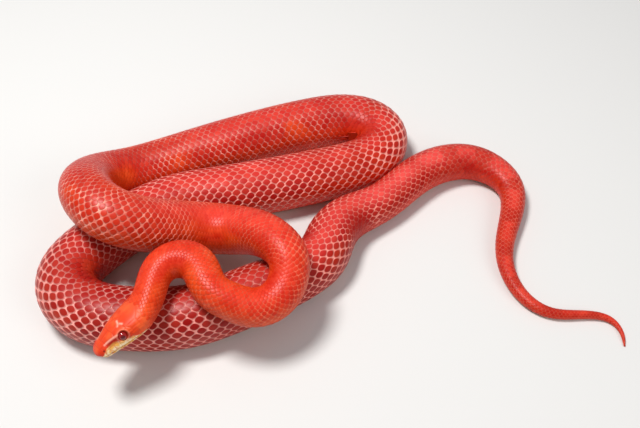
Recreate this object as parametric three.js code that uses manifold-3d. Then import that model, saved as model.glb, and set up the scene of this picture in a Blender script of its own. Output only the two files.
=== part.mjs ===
import * as THREE from "three";
import Module from "manifold-3d";

// Corn snake at rest in a loose pile of coils, head over the nearest coil, millimetres, +Z up

// driving dimensions
const headLength = 36;
const flatness = 0.45;
const nodeGap = 0.3;
const ringSpacing = 4.5;
const sides = 20;
const footprintCentre = { x: 4.41, y: -15.52 };

// section shape: roundness of the back, squareness of the flanks, share of the belly that is flat
const backPower = 2.1;
const bellyPower = 2.4;
const bellyPress = 1.05;

// the head leans over to its right, by degrees, and is level again at the end of the nape
const headRoll = { degrees: 20, start: 30, end: 75 };

// eye, socket and nostril, placed by distance back from the snout, out to the side and up
const eye = { back: 13.9, out: 5.9, up: 1.5, radius: 2.3 };
const nostril = { back: 3.2, out: 5.0, up: 1.1, radius: 0.6 };

// mouth line: groove depth and half width, where it ends, and how full the lips are beside it
const mouth = { depth: 0.4, halfWidth: 0.4, corner: 25.5, lipFullness: 0.22, lipOffset: 1.0 };

// brow ridge over the eye and the hollow in front of it
const brow = { back: 13.6, up: 4.5, spread: 4.4, height: 0.45 };
const hollow = { back: 8.8, up: 1.6, spread: 2.6, depth: 0.35 };

// fine grooves between the large plates on top of the head
const seamRadius = 0.28;

// colours
const orangeRed = new THREE.Color(0.85, 0.16, 0.05);
const wineRed = new THREE.Color(0.62, 0.06, 0.07);
const tailRed = new THREE.Color(0.78, 0.15, 0.06);
const eyeRed = new THREE.Color(0.25, 0.03, 0.03);

// the way the body lies: x, y, lift of the belly off the floor, width of the body
const route = {
  head: [
    [-100.5, -107.3, 22.6, 15.5],
    [-92.6, -98.2, 25, 15.5],
    [-84.4, -89.6, 27.4, 15.5],
    [-79.3, -81.2, 29, 15.4],
  ],
  neckArch: [
    [-78.9, -71.9, 29.8, 15.6],
    [-76.6, -64.4, 30, 17],
    [-70.4, -59.8, 30, 18.6],
    [-62.6, -59.8, 30, 19.2],
    [-56.6, -64.6, 30, 18.8],
    [-54, -72, 29.6, 18.2],
    [-49.6, -78.4, 28, 17.9],
  ],
  frontLoop: [
    [-42, -81, 25.5, 18.4],
    [-30, -83.5, 21, 19],
    [-18.5, -77, 21, 19.2],
    [-13.5, -65.5, 25, 19.8],
    [-15.5, -54, 29.5, 20.6],
    [-29, -39.5, 23.5, 23],
  ],
  upperCoil: [
    [-42, -30.5, 12.5, 26],
    [-60, -27.5, 10, 27.4],
    [-77.5, -34, 18.5, 28],
    [-92, -40.5, 29.5, 28],
    [-106.5, -36.5, 33, 28],
  ],
  leftTurn: [
    [-118, -23, 30.5, 28],
    [-123.5, -5.5, 20.5, 28],
    [-119.5, 8.5, 9.5, 28.5],
    [-106, 18.5, 1.5, 29],
  ],
  backArm: [
    [-86, 28, 0, 29.8],
    [-61, 39.2, 0, 30.4],
    [-29.5, 51.5, 0, 31],
    [-2, 60.3, 0, 31.3],
  ],
  rightTurn: [
    [13.5, 63.2, 0, 31.2],
    [28, 61.2, 0, 30.6],
    [37, 51.5, 0, 30],
    [37, 39.4, 0, 29],
    [28.2, 29.4, 0, 28.6],
    [15.5, 23, 0, 29.6],
  ],
  middleArm: [
    [0, 17.4, 0, 30.6],
    [-26, 10, 0, 31],
    [-52, 4, 0, 31],
    [-79, -1, 0, 31],
    [-99.5, -14.5, 0, 31],
  ],
  lowerTurn: [
    [-111.5, -27, 0, 31],
    [-122, -38, 0, 31],
    [-129, -50.5, 0, 31],
    [-126, -64.5, 0, 31],
    [-116, -73, 0, 31.2],
    [-102, -77.2, 0, 31.4],
  ],
  frontCoil: [
    [-80.5, -78.5, 0, 31.4],
    [-62, -76.5, 0, 31],
    [-43.5, -68.2, 0, 30.4],
    [-28, -60.2, 0, 30],
    [-12.3, -51.4, 0, 28.6],
  ],
  hindBody: [
    [2.6, -39.6, 0, 27.8],
    [5, -24.4, 0, 27],
    [15, -9.4, 0, 24.8],
    [35.4, -0.8, 0, 21.2],
    [56.4, 25.4, 0, 22.4],
    [81.5, 34.5, 0, 21.5],
    [98.5, 29, 0, 19],
  ],
  tail: [
    [110, 15.5, 0, 15.4],
    [107.5, -2.5, 0, 13],
    [99, -23, 0, 10.6],
    [97.2, -40.5, 0, 8.6],
    [103, -58.5, 0, 7.2],
    [115.5, -69, 0, 6.1],
    [131, -68, 0, 5],
    [146, -68.5, 0, 4.2],
    [151.5, -77, 0, 2.6],
    [150.5, -85.5, 0, 0.8],
  ],
};

// head measured every 3 mm back from the snout: half width, height over the axis, depth under it
const headStep = 3;
const headShape = [
  [5.0, 2.5, 3.4],
  [5.3, 3.0, 3.8],
  [5.9, 3.7, 4.3],
  [6.8, 4.5, 4.7],
  [7.9, 5.1, 5.0],
  [8.7, 5.5, 5.3],
  [9.4, 5.8, 5.6],
  [10.0, 6.0, 5.9],
  [10.2, 6.1, 6.2],
  [9.7, 6.3, 6.5],
  [8.8, 6.6, 6.7],
  [8.0, 6.8, 6.9],
  [7.75, 6.95, 6.95],
];
const snoutRounding = 4;
const jawSetback = 1.0;

// height of the mouth line against the axis, every 6 mm back from the snout
const mouthStep = 6;
const mouthHeights = [[-1.2], [-1.5], [-2.1], [-2.3], [-3.3], [-3.6]];

// lengths of the body: name, where each ends along the back, colour
const lengths = [
  ["neck_rise", 74, orangeRed],
  ["neck_fall", 98, orangeRed],
  ["front_loop", 158, orangeRed],
  ["upper_coil", 226, orangeRed],
  ["crossing_coil", 280, orangeRed],
  ["left_turn", 340, wineRed],
  ["back_arm", 440, wineRed],
  ["right_turn", 512, wineRed],
  ["middle_arm", 600, wineRed],
  ["under_crossing", 662, wineRed],
  ["lower_turn", 722, wineRed],
  ["front_coil", 800, wineRed],
  ["hind_rise", 862, wineRed],
  ["hind_body", 926, wineRed],
  ["hind_hump", 970, tailRed],
  ["tail_root", 1016, tailRed],
  ["tail_middle", 1066, tailRed],
  ["tail_tip", Infinity, tailRed],
];

// smooth blend through a list of rows of numbers, one step of t per row
function blend(rows, t) {
  const last = rows.length - 1;
  const i = Math.min(Math.max(Math.floor(t), 0), last - 1);
  const u = Math.min(Math.max(t - i, 0), 1);
  const weights = [(1 - u) ** 3, 3 * u ** 3 - 6 * u ** 2 + 4, -3 * u ** 3 + 3 * u ** 2 + 3 * u + 1, u ** 3];
  const before = i > 0 ? rows[i - 1] : rows[0].map((v, k) => 2 * v - rows[1][k]);
  const after = i < last - 1 ? rows[i + 2] : rows[last].map((v, k) => 2 * v - rows[last - 1][k]);
  const near = [before, rows[i], rows[i + 1], after];
  return rows[0].map((_, k) => near.reduce((sum, row, n) => sum + weights[n] * row[k], 0) / 6);
}

// spine: even samples of the route, with the distance from the snout at each
const samplesPerRow = 40;
const rows = Object.values(route).flat();
const spine = [];
for (let n = 0; n <= (rows.length - 1) * samplesPerRow; n += 1) {
  const [x, y, lift, width] = blend(rows, n / samplesPerRow);
  const centre = new THREE.Vector3(x, y, Math.max(lift, 0) + flatness * width);
  const before = spine[n - 1];
  const along = before ? before.along + centre.distanceTo(before.centre) : 0;
  spine.push({ centre, width, along });
}
const bodyLength = spine[spine.length - 1].along;

// place on the spine at a distance from the snout: centre, width, and the directions there
function spineAt(along) {
  let low = 0;
  let high = spine.length - 1;
  while (high - low > 1) {
    const middle = (low + high) >> 1;
    if (spine[middle].along <= along) low = middle;
    else high = middle;
  }
  const a = spine[low];
  const b = spine[high];
  const t = (along - a.along) / (b.along - a.along);
  const c = spine[Math.max(low - 1, 0)];
  const d = spine[Math.min(high + 1, spine.length - 1)];
  const tailward = d.centre.clone().sub(c.centre).normalize();
  const left = new THREE.Vector3().crossVectors(tailward, new THREE.Vector3(0, 0, 1)).normalize();
  const level = 1 - THREE.MathUtils.smoothstep(along, headRoll.start, headRoll.end);
  left.applyAxisAngle(tailward, -THREE.MathUtils.degToRad(headRoll.degrees) * level);
  const up = new THREE.Vector3().crossVectors(left, tailward);
  return {
    centre: a.centre.clone().lerp(b.centre, t),
    width: THREE.MathUtils.lerp(a.width, b.width, t),
    tailward,
    left,
    up,
  };
}

// signed power, for rounded-square sections
function power(value, exponent) {
  return Math.sign(value) * Math.abs(value) ** exponent;
}

// outline of the body at an angle from its left side: rounded back, fuller flanks, flat belly
function bodyOutline(width, angle) {
  const half = width / 2;
  const height = width * flatness;
  const isBack = Math.sin(angle) >= 0;
  const n = isBack ? backPower : bellyPower;
  const out = half * power(Math.cos(angle), 2 / n);
  const up = (isBack ? height : height * bellyPress) * power(Math.sin(angle), 2 / n);
  return { out, up: Math.max(up, -height) };
}

// bump of height 1 at zero that fades over a spread
function bump(distance, spread) {
  return Math.exp(-((distance / spread) ** 2));
}

// roundness of the snout seen from above and from the side
function snoutRound(back) {
  const t = Math.min(Math.max(1 - back / snoutRounding, 0), 0.99);
  return Math.sqrt(1 - t * t);
}

// height of the mouth line on the head
function mouthHeight(back) {
  return blend(mouthHeights, back / mouthStep)[0];
}

// half width, height and depth of the head at a distance back from the snout
function headSize(back) {
  const [half, above, below] = blend(headShape, back / headStep);
  const upper = snoutRound(back);
  const lower = snoutRound(back - jawSetback * (1 - back / headLength));
  return { half: half * upper, above: above * upper, below: below * lower };
}

// angle at which the mouth line crosses the head's outline
function mouthAngle(back) {
  const { below } = headSize(back);
  const share = Math.min(-mouthHeight(back) / (below * bellyPress), 0.9);
  return -Math.asin(share ** (bellyPower / 2));
}

// how square the top of the head is, most so over the snout
function crownPower(back) {
  return backPower + 0.35 * bump(back - 4, 7);
}

// outline of the head at an angle from its left side, with mouth line, lips, brow and hollow
function headOutline(back, angle) {
  const { half, above, below } = headSize(back);
  const isTop = Math.sin(angle) >= 0;
  const n = isTop ? crownPower(back) : bellyPower;
  const side = Math.sign(Math.cos(angle)) || 1;
  let out = half * power(Math.cos(angle), 2 / n);
  let up = (isTop ? above : below * bellyPress) * power(Math.sin(angle), 2 / n);
  up = Math.max(up, -below);
  const fade = THREE.MathUtils.smoothstep(mouth.corner + 1 - back, 0, 2) * snoutRound(back);
  const fromMouth = up - mouthHeight(back);
  const onSide = Math.abs(Math.cos(angle)) ** 0.5;
  const groove = mouth.depth * bump(fromMouth, mouth.halfWidth);
  const lips = mouth.lipFullness * bump(Math.abs(fromMouth) - mouth.lipOffset, 0.6);
  const browRise = brow.height * bump(back - brow.back, brow.spread) * bump(up - brow.up, 1.3);
  const hollowDip = hollow.depth * bump(back - hollow.back, hollow.spread) * bump(up - hollow.up, 1.4);
  out += side * onSide * (fade * (lips - groove) + browRise - hollowDip);
  return { out, up };
}

// point of the skin in the room: the outline laid across the spine, the belly pressed on the floor
function skinPoint(along, outline) {
  const place = spineAt(along);
  const point = place.centre.clone();
  point.addScaledVector(place.left, outline.out);
  point.addScaledVector(place.up, outline.up);
  if (point.z < 0.03) point.z = 0;
  return point;
}

// turns three.js geometry into a solid, and back
const manifold = await Module();
manifold.setup();

function toSolid(geometry) {
  const bare = new THREE.BufferGeometry();
  const position = geometry.getAttribute("position");
  const index = geometry.getIndex();
  const found = new Map();
  const points = [];
  const remap = [];
  for (let i = 0; i < position.count; i += 1) {
    const spot = [position.getX(i), position.getY(i), position.getZ(i)];
    const key = spot.map((v) => v.toFixed(4)).join(" ");
    if (!found.has(key)) {
      found.set(key, points.length / 3);
      points.push(...spot);
    }
    remap.push(found.get(key));
  }
  const triangles = [];
  for (let i = 0; i < index.count; i += 3) {
    const [a, b, c] = [index.getX(i), index.getX(i + 1), index.getX(i + 2)].map((n) => remap[n]);
    if (a !== b && b !== c && c !== a) triangles.push(a, b, c);
  }
  bare.dispose();
  return new manifold.Manifold({
    numProp: 3,
    vertProperties: new Float32Array(points),
    triVerts: new Uint32Array(triangles),
  });
}

function toGeometry(solid) {
  const mesh = solid.getMesh();
  const geometry = new THREE.BufferGeometry();
  geometry.setAttribute("position", new THREE.BufferAttribute(mesh.vertProperties, 3));
  geometry.setIndex(new THREE.BufferAttribute(mesh.triVerts, 1));
  geometry.computeVertexNormals();
  return geometry;
}

// closed tube between two distances along the back, shaped by an outline at each angle
function loft(start, end, ringCount, angles, outlineAt) {
  const geometry = new THREE.CylinderGeometry(1, 1, 1, angles.length, ringCount);
  const position = geometry.getAttribute("position");
  for (let i = 0; i < position.count; i += 1) {
    const x = position.getX(i);
    const z = position.getZ(i);
    const along = start + (0.5 - position.getY(i)) * (end - start);
    const isCentre = Math.hypot(x, z) < 0.5;
    const turn = (Math.atan2(x, z) / (2 * Math.PI) + 1) % 1;
    const step = Math.round(turn * angles.length) % angles.length;
    const outline = isCentre ? { out: 0, up: 0 } : outlineAt(along, angles[step](along));
    const point = skinPoint(along, outline);
    position.setXYZ(i, point.x, point.y, point.z);
  }
  return toSolid(geometry);
}

// even angles around the body
function evenAngles(count) {
  return Array.from({ length: count }, (_, n) => () => (n / count) * 2 * Math.PI);
}

// angles around the head, with rows on the mouth line and on both lips
const chinSteps = 5;
const crownSteps = 10;
function headAngles() {
  const up = Math.PI / 2;
  const lip = (back) => 0.5 / (headSize(back).below + 0.5);
  const halfTurn = [];
  for (let n = 0; n <= crownSteps; n += 1) {
    halfTurn.push((back) => THREE.MathUtils.lerp(up, mouthAngle(back) + lip(back), n / crownSteps));
  }
  halfTurn.push((back) => mouthAngle(back));
  for (let n = 0; n <= chinSteps; n += 1) {
    halfTurn.push((back) => THREE.MathUtils.lerp(mouthAngle(back) - lip(back), -up, n / chinSteps));
  }
  const mirrored = halfTurn.slice(1, -1).reverse();
  const rightSide = mirrored.map((angle) => (back) => Math.PI - angle(back));
  return halfTurn.concat(rightSide).reverse();
}

// point of the head by distance back from the snout, out to its left and up from its axis
function headPoint(back, out, up) {
  return skinPoint(back, { out, up });
}

// height of the top of the head over the axis at a place out from the middle
function crownHeight(back, out) {
  const { half, above } = headSize(back);
  const n = crownPower(back);
  return above * (1 - Math.min(Math.abs(out) / half, 0.98) ** n) ** (1 / n);
}

// seams between the plates of the crown: back and out at each end, mirrored where off the middle
const seams = [
  [2.8, 0, 2.8, 2.6],
  [2.8, 0, 11, 0],
  [6, 0, 5.8, 4.0],
  [11, 0, 11.4, 2.9],
  [11.4, 2.9, 10.6, 5.0],
  [11.4, 2.9, 16.2, 2.2],
  [16.2, 2.2, 18.6, 0],
  [16.2, 2.2, 17, 6.0],
  [18.6, 0, 26.6, 0],
  [17, 6.0, 22.6, 6.6],
  [22.6, 6.6, 26.6, 2.8],
  [26.6, 2.8, 26.6, 0],
];

function seamCutters() {
  const cutters = [];
  for (const [backA, outA, backB, outB] of seams) {
    const mirrorSigns = outA === 0 && outB === 0 ? [1] : [1, -1];
    for (const sign of mirrorSigns) {
      const pieces = 2;
      const spots = [];
      for (let n = 0; n <= pieces; n += 1) {
        const back = THREE.MathUtils.lerp(backA, backB, n / pieces);
        const out = THREE.MathUtils.lerp(outA, outB, n / pieces);
        spots.push(headPoint(back, sign * out, crownHeight(back, out) + seamRadius * 0.2));
      }
      for (let n = 0; n < pieces; n += 1) {
        cutters.push(rod(spots[n], spots[n + 1], seamRadius));
      }
    }
  }
  return cutters;
}

// straight rod between two points
function rod(from, to, radius) {
  const overlap = 0.1;
  const geometry = new THREE.CylinderGeometry(radius, radius, from.distanceTo(to) + overlap, 6);
  const direction = to.clone().sub(from).normalize();
  const turn = new THREE.Quaternion().setFromUnitVectors(new THREE.Vector3(0, 1, 0), direction);
  geometry.applyQuaternion(turn);
  const middle = from.clone().add(to).multiplyScalar(0.5);
  geometry.translate(middle.x, middle.y, middle.z);
  return toSolid(geometry);
}

// ball at a point
function ball(centre, radius, segments) {
  const geometry = new THREE.SphereGeometry(radius, segments, Math.round(segments / 2));
  geometry.translate(centre.x, centre.y, centre.z);
  return toSolid(geometry);
}

// head: lofted flesh, with eye sockets, nostrils and plate seams cut in
function makeHead() {
  const ringCount = 38;
  const flesh = loft(0.12, headLength - nodeGap / 2, ringCount, headAngles(), headOutline);
  const cutters = seamCutters();
  for (const side of [1, -1]) {
    cutters.push(ball(headPoint(eye.back, side * eye.out, eye.up), eye.radius + nodeGap, 24));
    cutters.push(ball(headPoint(nostril.back, side * nostril.out, nostril.up), nostril.radius, 8));
  }
  const cuts = manifold.Manifold.union(cutters);
  return toGeometry(flesh.subtract(cuts));
}

// eye: a ball in its socket
function makeEye(side) {
  return toGeometry(ball(headPoint(eye.back, side * eye.out, eye.up), eye.radius, 20));
}

// body length between two distances from the snout
function makeLength(start, end) {
  const from = start + nodeGap / 2;
  const to = Math.min(end, bodyLength) - (end < bodyLength ? nodeGap / 2 : 0);
  const ringCount = Math.ceil((to - from) / ringSpacing);
  const outlineAt = (along, angle) => bodyOutline(spineAt(along).width, angle);
  return toGeometry(loft(from, to, ringCount, evenAngles(sides), outlineAt));
}

// puts a mesh under its name and colour into the group
const snake = new THREE.Group();
snake.name = "corn_snake";

function add(name, geometry, color, roughness) {
  const material = new THREE.MeshStandardMaterial({ color, roughness, metalness: 0 });
  const mesh = new THREE.Mesh(geometry, material);
  mesh.name = name;
  snake.add(mesh);
}

add("head", makeHead(), orangeRed, 0.4);
add("left_eye", makeEye(1), eyeRed, 0.1);
add("right_eye", makeEye(-1), eyeRed, 0.1);
let lengthStart = headLength;
for (const [name, end, color] of lengths) {
  add(name, makeLength(lengthStart, end), color, 0.45);
  lengthStart = end;
}

// the middle of the footprint sits on the origin
snake.position.set(-footprintCentre.x, -footprintCentre.y, 0);

export default snake;
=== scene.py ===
import math

import bmesh
import bpy
import numpy as np
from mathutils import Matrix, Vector, kdtree


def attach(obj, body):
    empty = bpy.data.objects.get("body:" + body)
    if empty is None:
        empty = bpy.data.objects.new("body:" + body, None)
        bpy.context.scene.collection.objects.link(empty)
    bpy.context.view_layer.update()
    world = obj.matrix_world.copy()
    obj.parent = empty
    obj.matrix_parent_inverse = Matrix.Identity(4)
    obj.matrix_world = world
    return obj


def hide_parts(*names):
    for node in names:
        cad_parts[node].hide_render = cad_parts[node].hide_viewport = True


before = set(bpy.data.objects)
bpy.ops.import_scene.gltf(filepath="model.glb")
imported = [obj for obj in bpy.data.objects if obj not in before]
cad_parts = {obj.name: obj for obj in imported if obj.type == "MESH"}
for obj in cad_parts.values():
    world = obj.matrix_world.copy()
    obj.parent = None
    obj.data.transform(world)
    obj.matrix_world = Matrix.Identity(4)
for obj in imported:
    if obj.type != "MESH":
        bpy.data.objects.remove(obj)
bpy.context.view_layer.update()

# the way the body lies: x, y, lift of the belly off the floor, width of the body, in metres
route = {
    "head": [
        (-0.1005, -0.1073, 0.0226, 0.0155),
        (-0.0926, -0.0982, 0.025, 0.0155),
        (-0.0844, -0.0896, 0.0274, 0.0155),
        (-0.0793, -0.0812, 0.029, 0.0154),
    ],
    "neckArch": [
        (-0.0789, -0.0719, 0.0298, 0.0156),
        (-0.0766, -0.0644, 0.03, 0.017),
        (-0.0704, -0.0598, 0.03, 0.0186),
        (-0.0626, -0.0598, 0.03, 0.0192),
        (-0.0566, -0.0646, 0.03, 0.0188),
        (-0.054, -0.072, 0.0296, 0.0182),
        (-0.0496, -0.0784, 0.028, 0.0179),
    ],
    "frontLoop": [
        (-0.042, -0.081, 0.0255, 0.0184),
        (-0.03, -0.0835, 0.021, 0.019),
        (-0.0185, -0.077, 0.021, 0.0192),
        (-0.0135, -0.0655, 0.025, 0.0198),
        (-0.0155, -0.054, 0.0295, 0.0206),
        (-0.029, -0.0395, 0.0235, 0.023),
    ],
    "upperCoil": [
        (-0.042, -0.0305, 0.0125, 0.026),
        (-0.06, -0.0275, 0.01, 0.0274),
        (-0.0775, -0.034, 0.0185, 0.028),
        (-0.092, -0.0405, 0.0295, 0.028),
        (-0.1065, -0.0365, 0.033, 0.028),
    ],
    "leftTurn": [
        (-0.118, -0.023, 0.0305, 0.028),
        (-0.1235, -0.0055, 0.0205, 0.028),
        (-0.1195, 0.0085, 0.0095, 0.0285),
        (-0.106, 0.0185, 0.0015, 0.029),
    ],
    "backArm": [
        (-0.086, 0.028, 0, 0.0298),
        (-0.061, 0.0392, 0, 0.0304),
        (-0.0295, 0.0515, 0, 0.031),
        (-0.002, 0.0603, 0, 0.0313),
    ],
    "rightTurn": [
        (0.0135, 0.0632, 0, 0.0312),
        (0.028, 0.0612, 0, 0.0306),
        (0.037, 0.0515, 0, 0.03),
        (0.037, 0.0394, 0, 0.029),
        (0.0282, 0.0294, 0, 0.0286),
        (0.0155, 0.023, 0, 0.0296),
    ],
    "middleArm": [
        (0, 0.0174, 0, 0.0306),
        (-0.026, 0.01, 0, 0.031),
        (-0.052, 0.004, 0, 0.031),
        (-0.079, -0.001, 0, 0.031),
        (-0.0995, -0.0145, 0, 0.031),
    ],
    "lowerTurn": [
        (-0.1115, -0.027, 0, 0.031),
        (-0.122, -0.038, 0, 0.031),
        (-0.129, -0.0505, 0, 0.031),
        (-0.126, -0.0645, 0, 0.031),
        (-0.116, -0.073, 0, 0.0312),
        (-0.102, -0.0772, 0, 0.0314),
    ],
    "frontCoil": [
        (-0.0805, -0.0785, 0, 0.0314),
        (-0.062, -0.0765, 0, 0.031),
        (-0.0435, -0.0682, 0, 0.0304),
        (-0.028, -0.0602, 0, 0.03),
        (-0.0123, -0.0514, 0, 0.0286),
    ],
    "hindBody": [
        (0.0026, -0.0396, 0, 0.0278),
        (0.005, -0.0244, 0, 0.027),
        (0.015, -0.0094, 0, 0.0248),
        (0.0354, -0.0008, 0, 0.0212),
        (0.0564, 0.0254, 0, 0.0224),
        (0.0815, 0.0345, 0, 0.0215),
        (0.0985, 0.029, 0, 0.019),
    ],
    "tail": [
        (0.11, 0.0155, 0, 0.0154),
        (0.1075, -0.0025, 0, 0.013),
        (0.099, -0.023, 0, 0.0106),
        (0.0972, -0.0405, 0, 0.0086),
        (0.103, -0.0585, 0, 0.0072),
        (0.1155, -0.069, 0, 0.0061),
        (0.131, -0.068, 0, 0.005),
        (0.146, -0.0685, 0, 0.0042),
        (0.1515, -0.077, 0, 0.0026),
        (0.1505, -0.0855, 0, 0.0008),
    ],
}

form = {
    "centre": (0.00441, -0.01552),  # middle of the footprint on the route's own grid
    "samplesPerRow": 40,
    "tailNudge": 0.0002,  # sideways at the tip, keeps the tail's last bend inside the solids
    "nudgedRows": 11,
    "flatness": 0.45,  # half height of the body as a share of its width
    "backPower": 2.1,
    "bellyPower": 2.4,
    "bellyPress": 1.05,
    "girthSteps": 2001,
    "girthSection": 0.5,  # how far from the snout the section lies that gives the girth
    "headLength": 0.036,
    "headRoll": 20,  # degrees the head leans over to its right, gone by the end of the nape
    "rollFade": (0.03, 0.075),
    "coatDepth": 0.00032,  # how far the skin lies under the tops of the scales
    "coatStart": (0.018, 0.03),  # the coat thickens over this stretch
    "coatEnd": 0.012,  # and thins over the last of the tail
}


def blendRows(rows, t):  # smooth blend through rows of numbers, one step of t per row
    rows = np.asarray(rows, float)
    last = len(rows) - 1
    padded = np.vstack([2 * rows[0] - rows[1], rows, 2 * rows[last] - rows[last - 1]])
    t = np.asarray(t, float)
    i = np.clip(np.floor(t), 0, last - 1).astype(int)
    u = np.clip(t - i, 0, 1)[..., None]
    weights = ((1 - u) ** 3, 3 * u**3 - 6 * u**2 + 4, -3 * u**3 + 3 * u**2 + 3 * u + 1, u**3)
    return sum(w * padded[i + n] for n, w in enumerate(weights)) / 6


def unit(vectors):
    return vectors / np.linalg.norm(vectors, axis=-1, keepdims=True)


def smooth(start, end, value):
    t = np.clip((value - start) / (end - start), 0, 1)
    return t * t * (3 - 2 * t)


def power(value, exponent):
    return np.sign(value) * np.abs(value) ** exponent


def bump(distance, spread):
    return np.exp(-((distance / spread) ** 2))


def readTable(value, pairs):
    return np.interp(value, *zip(*pairs))


# spine: even samples of the route, with the distance from the snout and the directions at each
rows = [row for part in route.values() for row in part]
perRow = form["samplesPerRow"]
samples = blendRows(rows, np.arange((len(rows) - 1) * perRow + 1) / perRow)
spinePoints = samples[:, :3].copy()
spinePoints[:, :2] -= form["centre"]
spinePoints[:, 2] = np.maximum(samples[:, 2], 0) + form["flatness"] * samples[:, 3]
spineWidth = samples[:, 3]
nudged = form["nudgedRows"] * perRow
spinePoints[-nudged:, 0] -= form["tailNudge"] * np.linspace(0, 1, nudged)
spineAlong = np.concatenate([[0], np.cumsum(np.linalg.norm(np.diff(spinePoints, axis=0), axis=1))])
bodyLength = spineAlong[-1]
roll = math.radians(form["headRoll"]) * (1 - smooth(*form["rollFade"], spineAlong))[:, None]
tailwardAt = unit(np.gradient(spinePoints, axis=0))
levelLeft = unit(np.cross(tailwardAt, [0, 0, 1]))
levelUp = np.cross(levelLeft, tailwardAt)
leftAt = levelLeft * np.cos(roll) + levelUp * np.sin(roll)
upAt = levelUp * np.cos(roll) - levelLeft * np.sin(roll)
print("spine laid out,", round(bodyLength * 1000), "mm long")


def lookUp(along, table):
    if table.ndim == 1:
        return np.interp(along, spineAlong, table)
    return np.stack([np.interp(along, spineAlong, table[:, k]) for k in range(3)], axis=-1)


# head every 3 mm back from the snout: half width, height over the axis, depth under it
head = {
    "step": 0.003,
    "shape": [
        (0.005, 0.0025, 0.0034),
        (0.0053, 0.003, 0.0038),
        (0.0059, 0.0037, 0.0043),
        (0.0068, 0.0045, 0.0047),
        (0.0079, 0.0051, 0.005),
        (0.0087, 0.0055, 0.0053),
        (0.0094, 0.0058, 0.0056),
        (0.01, 0.006, 0.0059),
        (0.0102, 0.0061, 0.0062),
        (0.0097, 0.0063, 0.0065),
        (0.0088, 0.0066, 0.0067),
        (0.008, 0.0068, 0.0069),
        (0.00775, 0.00695, 0.00695),
    ],
    "crownSquare": 0.35,  # added to the power of the back, most over the snout
    "squareAt": 0.004,
    "squareSpread": 0.007,
    "snoutRounding": 0.004,
    "jawSetback": 0.001,
    "mouthStep": 0.006,
    "mouthHeights": [(-0.0012,), (-0.0015,), (-0.0021,), (-0.0023,), (-0.0033,), (-0.0036,)],
    "mouthCorner": 0.0255,
    "cornerFade": 0.001,
    "mouthDepth": 0.00042,
    "mouthHalfWidth": 0.0003,
    "lipFullness": 0.00022,
    "lipOffset": 0.001,
    "lipSpread": 0.0006,
    "brow": {"rise": 0.00045, "back": 0.0136, "long": 0.0044, "up": 0.0045, "high": 0.0013},
    "hollow": {"rise": 0.00042, "back": 0.0088, "long": 0.0026, "up": 0.0019, "high": 0.0013},
}


def snoutRound(back):
    t = np.clip(1 - back / head["snoutRounding"], 0, 1)
    return np.sqrt(1 - t * t)


def mouthHeight(back):
    return blendRows(head["mouthHeights"], back / head["mouthStep"])[..., 0]


def headSize(back):
    size = blendRows(head["shape"], back / head["step"])
    upper = snoutRound(back)
    lower = snoutRound(back - head["jawSetback"] * (1 - back / form["headLength"]))
    return size[..., 0] * upper, size[..., 1] * upper, size[..., 2] * lower


def crownPower(back):
    return form["backPower"] + head["crownSquare"] * bump(back - head["squareAt"], head["squareSpread"])


def swelling(part, back, up):  # soft rise of the head's side around one place
    return part["rise"] * bump(back - part["back"], part["long"]) * bump(up - part["up"], part["high"])


def headOutline(back, angle):  # out and up of the head's surface at an angle from its left side
    half, above, below = headSize(back)
    isTop = np.sin(angle) >= 0
    n = np.where(isTop, crownPower(back), form["bellyPower"])
    out = half * power(np.cos(angle), 2 / n)
    up = np.where(isTop, above, below * form["bellyPress"]) * power(np.sin(angle), 2 / n)
    up = np.maximum(up, -below)
    fromMouth = up - mouthHeight(back)
    corner, fade = head["mouthCorner"], head["cornerFade"]
    onLips = smooth(corner + fade, corner - fade, back) * snoutRound(back)
    groove = head["mouthDepth"] * bump(fromMouth, head["mouthHalfWidth"])
    lips = head["lipFullness"] * bump(np.abs(fromMouth) - head["lipOffset"], head["lipSpread"])
    rise = onLips * (lips - groove) + swelling(head["brow"], back, up) - swelling(head["hollow"], back, up)
    return out + power(np.cos(angle), 0.5) * rise, up


def bodyOutline(along, angle):
    width = lookUp(along, spineWidth)
    height = width * form["flatness"]
    isBack = np.sin(angle) >= 0
    n = np.where(isBack, form["backPower"], form["bellyPower"])
    out = width / 2 * power(np.cos(angle), 2 / n)
    up = np.where(isBack, height, height * form["bellyPress"]) * power(np.sin(angle), 2 / n)
    return out, np.maximum(up, -height)


def place(along, out, up):  # point at a distance out and up from the spine
    point = lookUp(along, spinePoints)
    point = point + unit(lookUp(along, leftAt)) * out[..., None] + unit(lookUp(along, upAt)) * up[..., None]
    point[..., 2] = np.maximum(point[..., 2], 0)
    return point


def skinPoint(along, angle):
    along, angle = np.broadcast_arrays(np.asarray(along, float), np.asarray(angle, float))
    onHead = along < form["headLength"]
    headOut, headUp = headOutline(np.minimum(along, form["headLength"]), angle)
    bodyOut, bodyUp = bodyOutline(along, angle)
    return place(along, np.where(onHead, headOut, bodyOut), np.where(onHead, headUp, bodyUp))


def skinFrame(along, angle):  # point of the skin and the outward direction there
    stepAlong, stepAngle, tiny = 0.0003, 0.01, 1e-15
    tailward = skinPoint(along + stepAlong, angle) - skinPoint(np.maximum(along - stepAlong, 0), angle)
    around = skinPoint(along, angle + stepAngle) - skinPoint(along, angle - stepAngle)
    return skinPoint(along, angle), unit(np.cross(tailward, around) + tiny)


# how far round each angle of the section lies, from the middle of the back to that of the belly
girthAngle = np.linspace(math.pi / 2, -math.pi / 2, form["girthSteps"])
girthOut, girthUp = bodyOutline(np.full(form["girthSteps"], form["girthSection"]), girthAngle)
girthArc = np.concatenate([[0], np.cumsum(np.hypot(np.diff(girthOut), np.diff(girthUp)))])
girthPerWidth = 2 * girthArc[-1] / lookUp(form["girthSection"], spineWidth)


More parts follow.
